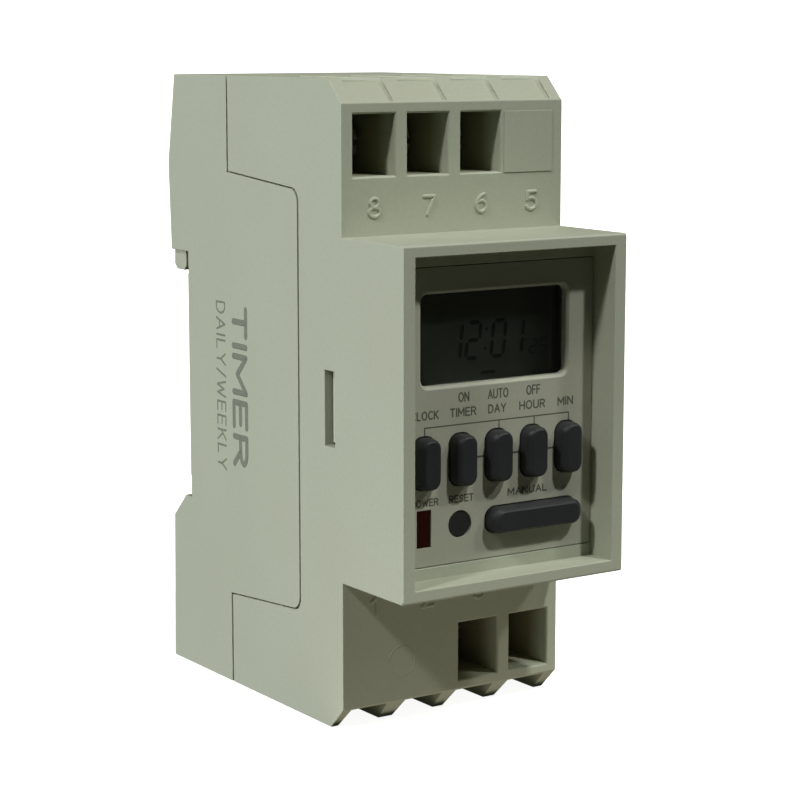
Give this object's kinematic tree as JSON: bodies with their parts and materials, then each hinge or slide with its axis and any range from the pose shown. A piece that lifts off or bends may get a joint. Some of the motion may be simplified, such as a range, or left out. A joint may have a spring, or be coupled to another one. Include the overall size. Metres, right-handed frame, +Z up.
{
  "type": "din rail timer",
  "caption": "Two-module digital time switch for a DIN rail: stepped case, recessed LCD and key panel, screw-cage terminals at top and bottom, sliding rail clip.",
  "frame": {"origin": "centre of the seat that rests on the front of the DIN rail: y = 0 is the rail's front face, z = 0 its centreline, x = 0 the middle of the width", "axes": "+X to the right across the modules as seen from the front, +Y back towards the rail, +Z up"},
  "size_m": [0.035, 0.0606, 0.085],
  "materials": {
    "housing": "fine-grained moulded thermoplastic",
    "panel": "smooth moulded thermoplastic",
    "key": "satin",
    "reset": "satin",
    "lens": "clear acrylic",
    "lcd": "liquid crystal cell",
    "elastomer": "banded silicone",
    "led": "tinted epoxy",
    "board": "solder-masked glass laminate",
    "switch": "moulded",
    "screw_small": "zinc plated",
    "chip": "moulded epoxy",
    "can": "drawn can",
    "cell": "nickel plated",
    "tab": "nickel strip",
    "header": "gilt pins",
    "relay": "moulded",
    "film": "boxed film",
    "electrolytic": "sleeved can",
    "disc": "lacquered disc",
    "diode": "moulded",
    "resistor": "lacquered",
    "brass": "tinned brass",
    "screw": "zinc plated",
    "cage": "zinc plated",
    "clip": "moulded",
    "spring": "spring steel"
  },
  "bodies": {
    "case": {"rear_base": "housing", "front_cover": "housing", "control_panel": "panel", "lcd_window": "lens", "lcd_cell": "lcd", "lcd_connector_strips": "elastomer", "power_led": "led", "display_board": "board", "tact_switches": "switch", "display_board_screws": "screw_small", "microcontroller": "chip", "quartz_crystal": "can", "display_board_chips": "chip", "backup_cell": "cell", "cell_tabs": "tab", "board_header": "header", "power_board": "board", "relay": "relay", "dropper_capacitor": "film", "smoothing_capacitors": "electrolytic", "varistor": "disc", "rectifier_diodes": "diode", "resistors": "resistor", "relay_driver": "chip", "busbar_8": "brass", "busbar_7": "brass", "busbar_6": "brass", "busbar_3": "brass", "busbar_4": "brass", "clip_spring": "spring"},
    "clock_button": {"key_clock": "key"},
    "timer_button": {"key_timer": "key"},
    "day_button": {"key_day": "key"},
    "hour_button": {"key_hour": "key"},
    "min_button": {"key_min": "key"},
    "manual_button": {"key_manual": "key"},
    "reset_button": {"key_reset": "reset"},
    "screw_8": {"terminal_screw_8": "screw"},
    "cage_8": {"terminal_cage_8": "cage"},
    "screw_7": {"terminal_screw_7": "screw"},
    "cage_7": {"terminal_cage_7": "cage"},
    "screw_6": {"terminal_screw_6": "screw"},
    "cage_6": {"terminal_cage_6": "cage"},
    "screw_3": {"terminal_screw_3": "screw"},
    "cage_3": {"terminal_cage_3": "cage"},
    "screw_4": {"terminal_screw_4": "screw"},
    "cage_4": {"terminal_cage_4": "cage"},
    "rail_clip": {"rail_clip": "clip"}
  },
  "joints": [
    {"name": "clock_press", "type": "slide", "parent": "case", "child": "clock_button", "axis": [0, 1, 0], "range_m": [0, 0.00045], "stiffness_N_per_m": 600, "springref_m": -0.001},
    {"name": "timer_press", "type": "slide", "parent": "case", "child": "timer_button", "axis": [0, 1, 0], "range_m": [0, 0.00045], "stiffness_N_per_m": 600, "springref_m": -0.001},
    {"name": "day_press", "type": "slide", "parent": "case", "child": "day_button", "axis": [0, 1, 0], "range_m": [0, 0.00045], "stiffness_N_per_m": 600, "springref_m": -0.001},
    {"name": "hour_press", "type": "slide", "parent": "case", "child": "hour_button", "axis": [0, 1, 0], "range_m": [0, 0.00045], "stiffness_N_per_m": 600, "springref_m": -0.001},
    {"name": "min_press", "type": "slide", "parent": "case", "child": "min_button", "axis": [0, 1, 0], "range_m": [0, 0.00045], "stiffness_N_per_m": 600, "springref_m": -0.001},
    {"name": "manual_press", "type": "slide", "parent": "case", "child": "manual_button", "axis": [0, 1, 0], "range_m": [0, 0.00045], "stiffness_N_per_m": 600, "springref_m": -0.001},
    {"name": "reset_press", "type": "slide", "parent": "case", "child": "reset_button", "axis": [0, 1, 0], "range_m": [0, 0.00045], "stiffness_N_per_m": 600, "springref_m": -0.001},
    {"name": "cage_8_lift", "type": "slide", "parent": "case", "child": "cage_8", "axis": [0, -1, 0], "range_m": [0, 0.0036]},
    {"name": "screw_8_turn", "type": "hinge", "parent": "case", "child": "screw_8", "pos_m": [-0.0125, -0.03, 0.03405], "axis": [0, 1, 0], "range_deg": [0, 2161]},
    {"name": "cage_7_lift", "type": "slide", "parent": "case", "child": "cage_7", "axis": [0, -1, 0], "range_m": [0, 0.0036]},
    {"name": "screw_7_turn", "type": "hinge", "parent": "case", "child": "screw_7", "pos_m": [-0.00417, -0.03, 0.03405], "axis": [0, 1, 0], "range_deg": [0, 2161]},
    {"name": "cage_6_lift", "type": "slide", "parent": "case", "child": "cage_6", "axis": [0, -1, 0], "range_m": [0, 0.0036]},
    {"name": "screw_6_turn", "type": "hinge", "parent": "case", "child": "screw_6", "pos_m": [0.0042, -0.03, 0.03405], "axis": [0, 1, 0], "range_deg": [0, 2161]},
    {"name": "cage_3_lift", "type": "slide", "parent": "case", "child": "cage_3", "axis": [0, -1, 0], "range_m": [0, 0.0036]},
    {"name": "screw_3_turn", "type": "hinge", "parent": "case", "child": "screw_3", "pos_m": [0.0042, -0.03, -0.03405], "axis": [0, 1, 0], "range_deg": [0, 2161]},
    {"name": "cage_4_lift", "type": "slide", "parent": "case", "child": "cage_4", "axis": [0, -1, 0], "range_m": [0, 0.0036]},
    {"name": "screw_4_turn", "type": "hinge", "parent": "case", "child": "screw_4", "pos_m": [0.01265, -0.03, -0.03405], "axis": [0, 1, 0], "range_deg": [0, 2161]},
    {"name": "rail_clip_release", "type": "slide", "parent": "case", "child": "rail_clip", "axis": [0, 0, -1], "range_m": [0, 0.003], "stiffness_N_per_m": 1500, "springref_m": -0.002, "deforming": ["clip_spring"]}
  ],
  "couplings": [
    {"joint": "screw_8_turn", "follows": "cage_8_lift", "rad_per_m": 10472},
    {"joint": "screw_7_turn", "follows": "cage_7_lift", "rad_per_m": 10472},
    {"joint": "screw_6_turn", "follows": "cage_6_lift", "rad_per_m": 10472},
    {"joint": "screw_3_turn", "follows": "cage_3_lift", "rad_per_m": 10472},
    {"joint": "screw_4_turn", "follows": "cage_4_lift", "rad_per_m": 10472}
  ]
}
